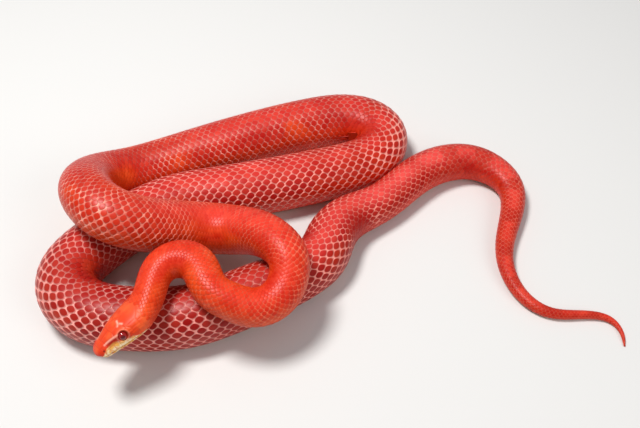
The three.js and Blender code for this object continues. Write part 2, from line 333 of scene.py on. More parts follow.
def angleAt(share):  # share 0 is the crest, 0.5 the middle of the belly, positive to the left
    share = (share + 0.5) % 1 - 0.5
    angle = np.interp(np.abs(share) * 2, girthArc / girthArc[-1], girthAngle)
    return np.where(share >= 0, angle, math.pi - angle)


def shareAt(angle):  # the other way round from angleAt
    turned = np.arctan2(np.sin(angle), np.cos(angle))
    side = np.where(np.cos(angle) >= 0, 1, -1)
    folded = np.where(np.cos(angle) >= 0, turned, math.pi - turned)
    folded = np.arctan2(np.sin(folded), np.cos(folded))
    return side * np.interp(-folded, -girthAngle, girthArc / girthArc[-1]) / 2


def girthAt(along):
    return lookUp(along, spineWidth) * girthPerWidth


def stretchAt(along, angle):  # longer than the spine outside a bend, shorter inside
    step = 0.001
    reach = skinPoint(along + step, angle) - skinPoint(np.maximum(along - step, 0), angle)
    return np.linalg.norm(reach, axis=-1) / (2 * step)


def coatDepth(along):  # nothing on the head's plates, full behind them
    fromTip = smooth(bodyLength, bodyLength - form["coatEnd"], along)
    return form["coatDepth"] * smooth(*form["coatStart"], along) * fromTip


def placePiece(mesh, material):
    piece = bpy.data.objects.new(mesh.name, mesh)
    bpy.context.scene.collection.objects.link(piece)
    mesh.materials.append(material)
    mesh.shade_smooth()
    return piece


def meshPiece(name, material, bm):
    mesh = bpy.data.meshes.new(name)
    bm.to_mesh(mesh)
    bm.free()
    return placePiece(mesh, material)


# looks of the skin and the scales
def newMaterial(name):
    material = bpy.data.materials.new(name)
    material.use_nodes = True
    tree = material.node_tree
    return material, tree, tree.nodes["Principled BSDF"]


def feed(tree, socket, value):  # a link from another node's output, or the value itself
    if isinstance(value, bpy.types.NodeSocket):
        tree.links.new(value, socket)
    else:
        socket.default_value = value


def attribute(tree, name, output="Fac"):
    node = tree.nodes.new("ShaderNodeAttribute")
    node.attribute_name = name
    return node.outputs[output]


def calculate(tree, operation, *values):
    node = tree.nodes.new("ShaderNodeMath")
    node.operation = operation
    for socket, value in zip(node.inputs, values):
        feed(tree, socket, value)
    return node.outputs[0]


def product(tree, first, *others):
    for other in others:
        first = calculate(tree, "MULTIPLY", first, other)
    return first


def remap(tree, value, fromMin, fromMax, toMin=0.0, toMax=1.0):
    node = tree.nodes.new("ShaderNodeMapRange")
    node.interpolation_type = "SMOOTHSTEP"
    limits = {"From Min": fromMin, "From Max": fromMax, "To Min": toMin, "To Max": toMax}
    for name, limit in limits.items():
        node.inputs[name].default_value = limit
    tree.links.new(value, node.inputs["Value"])
    return node.outputs["Result"]


def ramp(tree, source, stops):
    node = tree.nodes.new("ShaderNodeValToRGB")
    elements = node.color_ramp.elements
    elements[0].position, elements[0].color = stops[0]
    elements[1].position, elements[1].color = stops[-1]
    for position, color in stops[1:-1]:
        element = elements.new(position)
        element.color = color
    tree.links.new(source, node.inputs["Fac"])
    return node.outputs["Color"]


def mix(tree, factor, first, second, blendType="MIX"):
    node = tree.nodes.new("ShaderNodeMix")
    node.data_type = "RGBA"
    node.blend_type = blendType
    sockets = (node.inputs[0], node.inputs[6], node.inputs[7])  # factor and the two colours
    for socket, value in zip(sockets, (factor, first, second)):
        feed(tree, socket, value)
    return node.outputs[2]


def noise(tree, scale, detail):
    where = tree.nodes.new("ShaderNodeTexCoord").outputs["Object"]
    node = tree.nodes.new("ShaderNodeTexNoise")
    node.inputs["Scale"].default_value = scale
    node.inputs["Detail"].default_value = detail
    tree.links.new(where, node.inputs["Vector"])
    return node.outputs["Fac"]


def grey(strength):
    return (strength, strength, strength, 1.0)


def linear(red, green, blue):  # a screen colour, 0 to 255, as the shader takes it
    share = [c / 255 for c in (red, green, blue)]
    return tuple(c / 12.92 if c <= 0.04045 else ((c + 0.055) / 1.055) ** 2.4 for c in share) + (1.0,)


coatColours = {  # along the body from snout to tail tip
    "crest": [
        (0.0, linear(244, 78, 30)),
        (0.05, linear(236, 60, 26)),
        (0.12, linear(231, 52, 27)),
        # the pinker stops here and at 0.82 are partly painted sheen on the top of the back
        (0.17, linear(237, 66, 50)),
        (0.2, linear(230, 62, 46)),
        (0.225, linear(200, 44, 32)),
        (0.29, linear(188, 38, 28)),
        (0.34, linear(220, 54, 44)),
        (0.4, linear(214, 48, 40)),
        (0.52, linear(224, 58, 50)),
        (0.58, linear(206, 46, 38)),
        (0.62, linear(178, 32, 26)),
        (0.66, linear(178, 31, 26)),
        (0.73, linear(208, 46, 40)),
        # partly painted sheen on the top of the hump
        (0.82, linear(240, 80, 74)),
        (0.9, linear(226, 58, 42)),
        (1.0, linear(218, 52, 32)),
    ],
    "flank": [
        (0.0, linear(230, 54, 14)),
        (0.08, linear(224, 46, 20)),
        (0.14, linear(214, 44, 14)),
        (0.24, linear(206, 40, 12)),
        (0.34, linear(200, 28, 12)),
        (0.46, linear(188, 22, 14)),
        (0.56, linear(176, 28, 24)),
        (0.64, linear(160, 17, 14)),
        (0.72, linear(158, 15, 14)),
        (0.8, linear(184, 18, 10)),
        (0.88, linear(192, 22, 6)),
        (1.0, linear(200, 34, 14)),
    ],
    "rim": [
        (0.0, linear(250, 122, 72)),
        (0.12, linear(252, 140, 104)),
        (0.25, linear(255, 178, 158)),
        (0.44, linear(254, 168, 152)),
        (0.66, linear(254, 176, 164)),
        (0.82, linear(250, 146, 126)),
        (1.0, linear(246, 120, 90)),
    ],
    "low": [
        (0.0, linear(226, 60, 14)),
        (0.14, linear(226, 74, 14)),
        (0.3, linear(226, 70, 12)),
        (0.42, linear(228, 52, 12)),
        (0.56, linear(216, 42, 12)),
        (0.62, linear(172, 22, 12)),
        (0.75, linear(172, 22, 12)),
        (0.8, linear(216, 42, 10)),
        (1.0, linear(216, 42, 8)),
    ],
    "patch": linear(238, 78, 12),
    "cloud": linear(236, 200, 194),
    "saddle": linear(188, 28, 8),
    "belly": linear(238, 190, 140),
    "dark": linear(240, 226, 228),
    "light": linear(255, 150, 110),
    "saddleStrength": [  # hardly seen but on the right turn and the tail
        (0.38, grey(0.05)),
        (0.42, grey(0.5)),
        (0.46, grey(0.5)),
        (0.52, grey(0.15)),
        (0.8, grey(0.15)),
        (0.86, grey(0.75)),
    ],
}
coatPattern = {  # noises as scale and detail, edges as shares of the girth from the crest
    "edgeNoise": (22.0, 3.0),
    "edgeWander": 0.16,
    "flankEdge": (0.0, 0.14),
    "lowEdge": (0.15, 0.25),
    "bellyEdge": (0.35, 0.42),
    "patchNoise": (34.0, 2.0),
    "patchClear": (0.5, 0.66),
    "patchAlong": (0.46, 0.36, 0.25, 1.0),  # full on the fore body, faint behind it
    "patchAcross": (0.04, 0.16, 0.1, 0.85),  # hardly any on the crest
    "saddles": 50,  # from snout to tail tip
    "saddleNoise": (40.0, 3.0),
    "saddleWander": 4.0,
    "saddleClear": (0.1, 0.5),
    "saddleEdge": (0.18, 0.12),
    "cloudNoise": (46.0, 3.0),
    "cloudClear": (0.42, 0.6),
    "cloudDepth": 0.5,
    "lightShare": 0.05,
    "wornAlong": (0.44, 0.36),  # only the fore body's net is worn
    "wornNoise": (150.0, 2.0),
    "wornClear": (0.6, 0.4),
    "wornDepth": 0.6,
    "cloudedNet": (0.0, 1.0, 1.0, 0.78),
}


def orangePatches(tree, along, fromCrest):
    patchy = remap(tree, noise(tree, *coatPattern["patchNoise"]), *coatPattern["patchClear"])
    onFore = remap(tree, along, *coatPattern["patchAlong"])
    return product(tree, patchy, onFore, remap(tree, fromCrest, *coatPattern["patchAcross"]))


def saddleMarks(tree, along, fromCrest):
    turn = product(tree, along, coatPattern["saddles"] * 2 * math.pi)
    wander = product(tree, noise(tree, *coatPattern["saddleNoise"]), coatPattern["saddleWander"])
    wave = calculate(tree, "SINE", calculate(tree, "ADD", turn, wander))
    strength = ramp(tree, along, coatColours["saddleStrength"])
    onBack = remap(tree, fromCrest, *coatPattern["saddleEdge"])
    return product(tree, remap(tree, wave, *coatPattern["saddleClear"]), strength, onBack)


def netShown(tree, along, rim, clouds):  # the pale net, less where it is worn or clouded
    worn = remap(tree, noise(tree, *coatPattern["wornNoise"]), *coatPattern["wornClear"])
    worn = product(tree, worn, remap(tree, along, *coatPattern["wornAlong"]), coatPattern["wornDepth"])
    clear = remap(tree, clouds, *coatPattern["cloudedNet"])
    return product(tree, calculate(tree, "SUBTRACT", 1.0, worn), rim, clear)


def buildCoatColour():  # shared by the skin, the scales and the belly plates
    tree = bpy.data.node_groups.new("coatColour", "ShaderNodeTree")
    for name in ("Along", "Share", "Tone", "Rim"):
        tree.interface.new_socket(name, in_out="INPUT", socket_type="NodeSocketFloat")
    tree.interface.new_socket("Color", in_out="OUTPUT", socket_type="NodeSocketColor")
    given = tree.nodes.new("NodeGroupInput").outputs
    result = tree.nodes.new("NodeGroupOutput").inputs
    along = given["Along"]
    crest, flank = ramp(tree, along, coatColours["crest"]), ramp(tree, along, coatColours["flank"])
    low, rim = ramp(tree, along, coatColours["low"]), ramp(tree, along, coatColours["rim"])
    edge = calculate(tree, "SUBTRACT", noise(tree, *coatPattern["edgeNoise"]), 0.5)
    edge = product(tree, edge, coatPattern["edgeWander"])
    fromCrest = calculate(tree, "ADD", calculate(tree, "ABSOLUTE", given["Share"]), edge)
    base = mix(tree, remap(tree, fromCrest, *coatPattern["flankEdge"]), crest, flank)
    base = mix(tree, orangePatches(tree, along, fromCrest), base, coatColours["patch"])
    base = mix(tree, saddleMarks(tree, along, fromCrest), base, coatColours["saddle"])
    base = mix(tree, remap(tree, fromCrest, *coatPattern["lowEdge"]), base, low)
    base = mix(tree, remap(tree, fromCrest, *coatPattern["bellyEdge"]), base, coatColours["belly"])
    clouds = remap(tree, noise(tree, *coatPattern["cloudNoise"]), *coatPattern["cloudClear"])
    deep = product(tree, clouds, coatPattern["cloudDepth"])
    base = mix(tree, deep, base, coatColours["cloud"], "MULTIPLY")
    darker = mix(tree, 1.0, base, coatColours["dark"], "MULTIPLY")
    lighter = mix(tree, coatPattern["lightShare"], base, coatColours["light"])
    base = mix(tree, given["Tone"], darker, lighter)
    shown = netShown(tree, along, given["Rim"], clouds)
    tree.links.new(mix(tree, shown, base, rim), result["Color"])
    return tree


coatColour = buildCoatColour()


def placeCoatColour(tree, tone, rim):
    node = tree.nodes.new("ShaderNodeGroup")
    node.node_tree = coatColour
    given = {"Along": attribute(tree, "along"), "Share": attribute(tree, "share"), "Tone": tone, "Rim": rim}
    for name, value in given.items():
        feed(tree, node.inputs[name], value)
    return node.outputs["Color"]


def finishSurface(tree, shader, color, look):  # colour, gloss and fine grain
    tree.links.new(color, shader.inputs["Base Color"])
    shader.inputs["Roughness"].default_value = look["roughness"]
    shader.inputs["Specular IOR Level"].default_value = look["shine"]
    node = tree.nodes.new("ShaderNodeBump")
    node.inputs["Strength"].default_value = look["grainStrength"]
    node.inputs["Distance"].default_value = look["grainDepth"]
    tree.links.new(noise(tree, *look["grain"]), node.inputs["Height"])
    tree.links.new(node.outputs["Normal"], shader.inputs["Normal"])


scaleLook = {
    "roughness": 0.35,
    "shine": 0.22,
    "grain": (2600.0, 3.0),
    "grainStrength": 0.12,
    "grainDepth": 0.0001,
    "darkLength": 0.86,  # reach of the dark middle of a scale, inside its pale rim
    "darkWidth": 0.82,
    "darkPower": 1.55,
    "rimSoftness": 0.12,
    "foreBody": (0.42, 0.36),
    "frontFade": (0.4, -0.3, 0.0, 0.6),  # on the fore body the rim fades at the front of a scale
    "tipClear": (0.5, 0.95, 0.0, 0.6),  # and spreads over its tip, unevenly: pale tips, partly the scales' own pale edges and partly a painted highlight
    "tipNoise": (150.0, 2.0),
    "tipUneven": (0.38, 0.62, 0.35, 1.4),
}


def scaleMaterial():
    material, tree, shader = newMaterial("scaleKeratin")
    local = tree.nodes.new("ShaderNodeSeparateXYZ")
    tree.links.new(attribute(tree, "local", "Vector"), local.inputs[0])
    lengthwise, across = local.outputs[0], local.outputs[1]
    parts = []
    for socket, size in ((lengthwise, scaleLook["darkLength"]), (across, scaleLook["darkWidth"])):
        share = calculate(tree, "DIVIDE", calculate(tree, "ABSOLUTE", socket), size)
        parts.append(calculate(tree, "POWER", share, scaleLook["darkPower"]))
    reach = calculate(tree, "POWER", calculate(tree, "ADD", *parts), 1 / scaleLook["darkPower"])
    soft, net = scaleLook["rimSoftness"], attribute(tree, "net")
    rim = product(tree, remap(tree, reach, 1 - soft, 1 + soft), net)
    onFore = remap(tree, attribute(tree, "along"), *scaleLook["foreBody"])
    hidden = product(tree, onFore, remap(tree, lengthwise, *scaleLook["frontFade"]))
    rim = product(tree, rim, calculate(tree, "SUBTRACT", 1.0, hidden))
    # pale tips on the fore body: partly the scales' own pale edges, partly a painted highlight in place of
    # their relief
    uneven = remap(tree, noise(tree, *scaleLook["tipNoise"]), *scaleLook["tipUneven"])
    tip = product(tree, onFore, remap(tree, lengthwise, *scaleLook["tipClear"]), net, uneven)
    color = placeCoatColour(tree, attribute(tree, "tone"), calculate(tree, "MAXIMUM", rim, tip))
    finishSurface(tree, shader, color, scaleLook)
    return material


skinLook = {
    "roughness": 0.4,
    "shine": 0.22,
    "grain": (1500.0, 3.0),
    "grainStrength": 0.2,
    "grainDepth": 0.0002,
    "tone": 0.5,
    "headAlong": (0.03, 0.02),
    "crownNoise": (190.0, 2.0),
    "crownClear": (0.4, 0.66),
    "crownShare": 0.4,
    "crownLight": linear(252, 116, 58),
    "creamNoise": (420.0, 2.0),
    "creamEdge": (0.42, 0.62),
    "creamPale": linear(250, 226, 180),
    "creamWarm": linear(240, 176, 84),
    "mottleNoise": (640.0, 2.0),
    "mottleClear": (0.54, 0.68),
    "mottleShare": 0.6,
    "mottle": linear(222, 92, 50),
}
headColours = {  # colour and strength of each mark, laid one over the other
    "streak": (linear(142, 16, 12), 0.92),
    # pale: the rim round each eye and the fork are the head's own colour, the line along each canthus a
    # painted highlight
    "pale": (linear(255, 190, 165), 0.85),
    "seam": (linear(196, 46, 22), 0.4),
    # painted shade: each nostril's opening near black, far darker than its shallow dent
    "pit": (linear(60, 8, 6), 1.0),
    "lipLine": (linear(160, 72, 44), 0.55),
}


def creamLips(tree):
    warm = remap(tree, noise(tree, *skinLook["creamNoise"]), *skinLook["creamEdge"])
    cream = mix(tree, warm, skinLook["creamPale"], skinLook["creamWarm"])
    spots = remap(tree, noise(tree, *skinLook["mottleNoise"]), *skinLook["mottleClear"])
    return mix(tree, product(tree, spots, skinLook["mottleShare"]), cream, skinLook["mottle"])


def skinMaterial():
    material, tree, shader = newMaterial("skinBetween")
    color = placeCoatColour(tree, skinLook["tone"], attribute(tree, "net"))
    onHead = remap(tree, attribute(tree, "along"), *skinLook["headAlong"])
    cloud = remap(tree, noise(tree, *skinLook["crownNoise"]), *skinLook["crownClear"])
    color = mix(tree, product(tree, cloud, onHead, skinLook["crownShare"]), color, skinLook["crownLight"])
    color = mix(tree, attribute(tree, "cream"), color, creamLips(tree))
    for name, (markColour, strength) in headColours.items():
        color = mix(tree, product(tree, attribute(tree, name), strength), color, markColour)
    finishSurface(tree, shader, color, skinLook)
    return material


eyeLook = {
    "pupil": linear(96, 6, 8),
    "iris": linear(150, 16, 14),
    "edge": linear(118, 10, 10),
    "pupilEdge": (0.4, 0.47),  # shares of the ball's radius
    "irisEdge": (0.72, 0.95),
    "roughness": 0.12,
    "coat": 0.7,
    "coatRoughness": 0.03,
}


def eyeMaterial():
    material, tree, shader = newMaterial("eyeClear")
    (pupilEnd, irisStart), (irisEnd, edgeStart) = eyeLook["pupilEdge"], eyeLook["irisEdge"]
    pupil, iris, edge = eyeLook["pupil"], eyeLook["iris"], eyeLook["edge"]
    stops = [(0.0, pupil), (pupilEnd, pupil), (irisStart, iris), (irisEnd, iris), (edgeStart, edge)]
    tree.links.new(ramp(tree, attribute(tree, "disc"), stops), shader.inputs["Base Color"])
    shader.inputs["Roughness"].default_value = eyeLook["roughness"]
    shader.inputs["Coat Weight"].default_value = eyeLook["coat"]
    shader.inputs["Coat Roughness"].default_value = eyeLook["coatRoughness"]
    return material


eyeSurface = eyeMaterial()
scaleSurface = scaleMaterial()
skinSurface = skinMaterial()

# seams between the large plates of the head, in millimetres back from the snout
plates = {
    "crown": [  # with the distance out from the middle, in millimetres
        [(2.8, 0), (2.8, 2.6)],
        [(2.8, 0), (11, 0)],
        [(6, 0), (5.8, 4)],
        [(11, 0), (11.4, 2.9), (10.8, 4.9)],
        [(11.4, 2.9), (16.2, 2.2), (18.6, 0)],
        [(16.2, 2.2), (17, 6)],
        [(18.6, 0), (26.6, 0)],
        [(17, 6), (22.6, 6.6), (26.6, 2.8), (26.6, 0)],
    ],
    "side": [  # with the angle around from the side, in degrees
        [(2.8, 63), (2.3, 30), (1.9, -12)],
        [(2.8, 63), (6, 55), (9.6, 50), (11.6, 47), (14, 46), (16.6, 44), (17, 51)],
        [(2.2, 18), (4.5, 19), (8, 17), (11.6, 13)],
        [(16.2, 14), (19.5, 17), (22.5, 12), (25.6, -6)],
        [(3.4, 19), (3.5, 58)],
        [(5.6, 18), (5.9, 54)],
        [(9.2, 16), (9.5, 50)],
        [(16.4, 28), (18.7, 28)],
        [(18.5, 16), (18.9, 30), (17.4, 50)],
        [(18.8, 29), (22.5, 27), (25.4, 16)],
        [(22.4, 12), (22.8, 40), (22.6, 49)],
        [(22.7, 38), (25.8, 34)],
        [(25.6, -6), (25.4, 16), (25.8, 34), (25.6, 58)],
        [(3.6, 19), (3.4, -12)],
        [(5.8, 18), (5.6, -13)],
        [(8.2, 17), (8, -14)],
        [(10.8, 14), (10.6, -15)],
        [(14, 2), (14, -16)],
        [(17.2, 15), (17.2, -17)],
        [(20.6, 15), (20.4, -19)],
        [(23.6, 9), (23.4, -21)],
        [(2.6, -60), (8, -48), (16, -44), (25, -40)],
        [(3.4, -18), (3.6, -57)],
        [(5.8, -18), (6, -51)],
        [(8.4, -19), (8.8, -47)],
        [(11.2, -20), (11.6, -46)],
        [(14.2, -21), (14.6, -45)],
        [(17.4, -23), (17.6, -44)],
        [(20.8, -25), (21, -42)],
        [(1.8, -90), (17, -90)],
        [(9, -90), (8.6, -48)],
        [(16.4, -90), (15.6, -45)],
    ],
    "nostril": (3.35, 30),
    "end": (0.0275, 0.0255),  # from here on in metres
    "depth": 0.0001,
    "halfWidth": 0.00017,
    "pillow": 0.00005,
    "pillowReach": 0.0009,
    "nostrilDepth": 0.0005,
    "nostrilSpread": 0.0004,
}
eyes = {
    "place": (0.0139, 0.0059, 0.0015),  # back, out, up
    "radius": 0.0023,
    "clearance": 0.00001,  # the ball stays this far inside the solid
    "segments": 48,
    "rings": 28,
    "facing": math.radians(28),
    "area": 0.004,  # the socket reshapes the skin no further out than this
    "opening": 0.00178,
    "rimReach": 0.0027,
    "sunk": 0.0006,
    "rim": 0.00009,
    "rimAt": 0.00255,
    "rimSpread": 0.0003,
    "seamless": 0.0026,  # no seam shows closer to the eye than this
    "rimPale": 0.22,
    "paleSpread": 0.0004,
    "gaze": (-0.22, -0.28),  # how far the pupil turns forward and down from the middle of the opening
}
marks = {  # colours that follow no plate: lines in millimetres back and degrees round, spreads in metres
    "creamEdge": [(0, -30), (1.5, -6), (3, 14), (5, 30), (9, 30), (11.5, 14), (14, 4), (17, -2), (20.5, -22),
                  (25, -33), (28, -38), (36, -44)],
    "creamSoftness": 5,
    # painted highlight: a pale line along the ridge between the crown and each side of the snout
    "canthus": [(5.4, 58), (9.6, 51), (13.4, 46)],
    "canthusSpread": 0.00042,
    "streak": [(7.4, 43), (10.5, 37), (13, 24), (15.4, 16)],
    "streakSpread": 0.0015,
    "fork": [(15.1, 72), (16.1, 78), (16.6, 88)],
    "forkArm": [(16.1, 78), (17.2, 66)],
    "forkSpread": 0.0005,
    "forkPale": 0.9,
    "lipLineSpread": 0.00022,
    "lipLineStart": 0.0008,
    "lipLineEnd": (0.0263, 0.0245),
}


def crownAngle(back, out):
    half = float(headSize(np.array(back / 1000))[0])
    return math.acos(min(out / 1000 / half, 1) ** (float(crownPower(back / 1000)) / 2))


def alongLine(line, spots=40):  # even spots on each stretch of a line, as distances back and angles
    line = np.array(line, float)
    return np.concatenate([np.linspace(line[n], line[n + 1], spots) for n in range(len(line) - 1)])


def nearness(points, lines, right=True):  # distance from each point to the nearest spot of the lines
    spots = np.concatenate([alongLine(line) for line in lines])
    back, angle = spots[:, 0] / 1000, np.radians(spots[:, 1])
    places = skinPoint(back, angle)
    if right:
        places = np.concatenate([places, skinPoint(back, math.pi - angle)])
    finder = kdtree.KDTree(len(places))
    for n, spot in enumerate(places):
        finder.insert(spot, n)
    finder.balance()
    return np.array([finder.find(point)[2] for point in points])


def cutPlates(along, points, normals):  # seams, soft pillows between them, and the nostrils
    crown = [[(back, math.degrees(crownAngle(back, out))) for back, out in line] for line in plates["crown"]]
    fromSeam = nearness(points, crown + plates["side"])
    fromNostril = nearness(points, [[plates["nostril"], plates["nostril"]]])
    seam = bump(fromSeam, plates["halfWidth"])
    # where each nostril dents in, which also carries the nostril's painted shade
    pit = bump(fromNostril, plates["nostrilSpread"])
    onPlates = smooth(*plates["end"], along)
    pillows = plates["pillow"] * smooth(0, plates["pillowReach"], fromSeam)
    rise = onPlates * (pillows - plates["depth"] * seam)
    rise = rise - plates["nostrilDepth"] * pit - plates["pillow"]
    return points + normals * rise[:, None], seam * onPlates, pit


def eyeSocket(side):  # centre of an eyeball and the way it faces
    back, out, up = eyes["place"]
    centre = place(np.array([back]), np.array([side * out]), np.array([up]))[0]
    facing = eyes["facing"] if side > 0 else math.pi - eyes["facing"]
    return centre, unit(skinPoint(back, facing) - centre)


def cutSockets(points, seam):  # opens the skin over each eye and raises a paler rim round it
    ring = np.zeros(len(points))
    for side in (1, -1):
        centre, axis = eyeSocket(side)
        height = (points - centre) @ axis
        reach = np.linalg.norm(points - centre - height[:, None] * axis, axis=-1)
        near = (height > 0) & (reach < eyes["area"])
        share = smooth(eyes["opening"], eyes["rimReach"], reach)
        rim = eyes["rim"] * bump(reach - eyes["rimAt"], eyes["rimSpread"])
        target = height * share + eyes["sunk"] * (1 - share) + rim
        points = points + np.where(near, target - height, 0)[:, None] * axis
        seam = np.where(near & (reach < eyes["seamless"]), 0, seam)
        ring = np.where(near, eyes["rimPale"] * bump(reach - eyes["rimReach"], eyes["paleSpread"]), ring)
    return points, seam, ring


def headDetail(along, angle, points, normals):  # cuts the fine forms into the head and finds its marks
    points, seam, pit = cutPlates(along, points, normals)
    points, seam, ring = cutSockets(points, seam)
    edge, soft = readTable(along * 1000, marks["creamEdge"]), marks["creamSoftness"]
    level = np.degrees(np.arctan2(np.sin(angle), np.abs(np.cos(angle))))
    # the pale line along each canthus is a painted highlight
    canthus = bump(nearness(points, [marks["canthus"]]), marks["canthusSpread"])
    fork = bump(nearness(points, [marks["fork"], marks["forkArm"]], right=False), marks["forkSpread"])
    fromMouth = headOutline(along, angle)[1] - mouthHeight(along)
    onLips = smooth(*marks["lipLineEnd"], along) * smooth(0.0, marks["lipLineStart"], along)
    found = {
        "seam": seam,
        "pit": pit,
        "cream": smooth(edge + soft, edge - soft, level),
        "pale": np.maximum(np.maximum(ring, canthus), marks["forkPale"] * fork),
        "streak": bump(nearness(points, [marks["streak"]]), marks["streakSpread"]),
        "lipLine": bump(fromMouth, marks["lipLineSpread"]) * onLips,
    }
    inward = skinDetail["noseBack"] * bump(along, skinDetail["noseSpread"])
    return points + tailwardAt[0] * inward[:, None], found


# one skin over the whole animal, lying just under the tops of the scales
skinDetail = {
    "headRings": 260,
    "headSides": 280,
    "bodyRings": 430,
    "bodySides": 54,
    "headEnd": 0.035,
    "noseShare": 0.16,  # share of the head's rings on the rounding of the snout
    "noseBack": 0.00006,  # keeps the snout inside the solids
    "noseSpread": 0.003,
    "neckReach": 0.012,
    "weld": 1e-7,
}
netLook = {  # how clearly the pale net shows between the scales
    "along": [(0.02, 0.32), (0.06, 0.42), (0.1, 0.62), (0.16, 0.66), (0.22, 0.95), (0.34, 0.95),
              (0.42, 0.82), (0.5, 1.0), (0.86, 1.0), (0.96, 0.64), (1.02, 0.45)],
    "onCrest": 0.68,
    "crestReach": 0.1,
    "stretch": (0.6, 1.0),  # closed inside the tightest bends
    "start": (0.016, 0.03),
}


def netStrength(along, share, stretch):
    crest = netLook["onCrest"]
    across = crest + (1 - crest) * smooth(0.0, netLook["crestReach"], np.abs(share))
    return readTable(along, netLook["along"]) * across * smooth(*netLook["stretch"], stretch)


def gridTube(rings, sides, alongAt, detail=None):  # closed round, open at both ends
    bm = bmesh.new()
    bmesh.ops.create_grid(bm, x_segments=sides, y_segments=rings, size=0.5)
    flat = np.array([vert.co[:2] for vert in bm.verts]) + 0.5
    along, angle = alongAt(flat[:, 1]), flat[:, 0] * 2 * math.pi
    share = shareAt(angle)
    net = netStrength(along, share, stretchAt(along, angle)) * smooth(*netLook["start"], along)
    values = {"along": along / bodyLength, "share": share, "net": net, "cream": np.zeros(len(along))}
    values.update({name: np.zeros(len(along)) for name in headColours})
    points, normals = skinFrame(along, angle)
    points = points - normals * coatDepth(along)[:, None]
    if detail:
        points, found = detail(along, angle, points, normals)
        values.update(found)
    points[:, 2] = np.maximum(points[:, 2], 0)
    layers = {name: bm.verts.layers.float.new(name) for name in values}
    for n, vert in enumerate(bm.verts):
        vert.co = points[n]
        for name, layer in layers.items():
            vert[layer] = values[name][n]
    bmesh.ops.remove_doubles(bm, verts=bm.verts, dist=skinDetail["weld"])
    return bm


def headAlong(v):
    share = skinDetail["noseShare"]
    nose = head["snoutRounding"] * (1 - np.cos(np.clip(v / share, 0, 1) * math.pi / 2))
    return nose + np.clip((v - share) / (1 - share), 0, 1) * (skinDetail["headEnd"] - head["snoutRounding"])


def bodyAlong(v):
    return form["headLength"] + v * (bodyLength - form["headLength"])


def makeSkin():
    bm = gridTube(skinDetail["bodyRings"], skinDetail["bodySides"], bodyAlong)
    headPart = gridTube(skinDetail["headRings"], skinDetail["headSides"], headAlong, headDetail)
    mesh = bpy.data.meshes.new("headPart")
    headPart.to_mesh(mesh)
    headPart.free()
    bm.from_mesh(mesh)
    bpy.data.meshes.remove(mesh)
    neck, reach = Vector(lookUp(form["headLength"], spinePoints)), skinDetail["neckReach"]
    loose = [edge for edge in bm.edges if edge.is_boundary and (edge.verts[0].co - neck).length < reach]
    bmesh.ops.bridge_loops(bm, edges=loose)
    bmesh.ops.holes_fill(bm, edges=[edge for edge in bm.edges if edge.is_boundary], sides=0)
    bmesh.ops.recalc_face_normals(bm, faces=bm.faces)
    return meshPiece("skin", skinSurface, bm)


skin = makeSkin()
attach(skin, "root")
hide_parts(*[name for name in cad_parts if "eye" not in name])
print("skin made,", len(skin.data.polygons), "faces")


def makeEye(name, side):  # a smooth ball in the socket, darker where it looks out
    centre, axis = eyeSocket(side)
    radius = eyes["radius"] - eyes["clearance"]
    turn = Vector(axis).to_track_quat("Z", "Y").to_matrix().to_4x4()
    turn.translation = Vector(centre)
    ball = bmesh.new()
    bmesh.ops.create_uvsphere(
        ball, u_segments=eyes["segments"], v_segments=eyes["rings"], radius=radius, matrix=turn)
    back = np.array([eyes["place"][0]])
    forward, down = eyes["gaze"]
    gaze = unit(axis + forward * lookUp(back, tailwardAt)[0] + down * lookUp(back, upAt)[0])
    disc = ball.verts.layers.float.new("disc")
    for vert in ball.verts:
        offset = np.array(vert.co) - centre
        aside = np.linalg.norm(offset - (offset @ gaze) * gaze) / radius
        vert[disc] = aside if offset @ gaze > 0 else 1.0
    return meshPiece(name, eyeSurface, ball)


for name, node, side in (("leftEye", "left_eye", 1), ("rightEye", "right_eye", -1)):
    eyePiece = makeEye(name, side)
    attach(eyePiece, "root")
    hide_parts(node)
print("eyes made")

# scales of the back and flanks: offset rows of small domed shells, each over the front of the next
scales = {
    "rows": [(0.86, 23), (0.96, 19), (1.0, 15), (1.05, 11), (1.09, 9), (1.117, 7)],  # fewer along the tail
    "beltShare": 0.708,  # share of the girth that the rows cover
    "start": 0.019,
    "tipGap": 0.0025,
    "steps": [(0.02, 0.0019), (0.036, 0.0021), (0.1, 0.0023), (0.16, 0.0027), (0.28, 0.003), (0.34, 0.0034),
              (0.44, 0.0041), (0.5, 0.0047), (0.8, 0.0048), (0.86, 0.0045), (0.93, 0.0041), (0.968, 0.0036),
              (1.0, 0.0029), (1.06, 0.0022), (1.12, 0.0014)],  # from scale to scale along a row
    "napeEdge": [(0, 0.0272), (0.06, 0.027), (0.12, 0.0258), (0.18, 0.0256), (0.25, 0.0256), (0.3, 0.025),
                 (0.37, 0.021), (0.5, 0.019)],  # where the scales begin behind the plates, by share
    "outline": 1.55,
    "length": 1.04,
    "width": 0.74,
    "outerBend": (1.05, 0.6),  # keep the scales nearly one size where a bend stretches or shortens the back
    "innerBend": 0.75,
    "tilt": 0.00022,
    "dome": 0.00012,
    "thickness": 0.00016,
    "sunk": 0.00006,
    "fullStep": 0.0048,
    "leastHeight": 0.35,
    "seed": 7,
    "lengths": (0.96, 1.04),
    "widths": (0.97, 1.03),
    "heights": (0.85, 1.0),
    "tones": (0.0, 1.0),
}
scalePieces = [  # name, stretch of the back that it covers, slot
    ("neckScales", 0, 0.16, "fore_skin"),
    ("foreScales", 0.16, 0.34, "fore_skin"),
    ("backScales", 0.34, 0.5, "body_skin"),
    ("middleScales", 0.5, 0.66, "body_skin"),
    ("frontScales", 0.66, 0.86, "body_skin"),
    ("tailScales", 0.86, bodyLength, "tail_skin"),
]
shell = {"sides": 12, "foot": 0.94, "insets": (0.16, 0.34)}  # one scale, before it takes its size
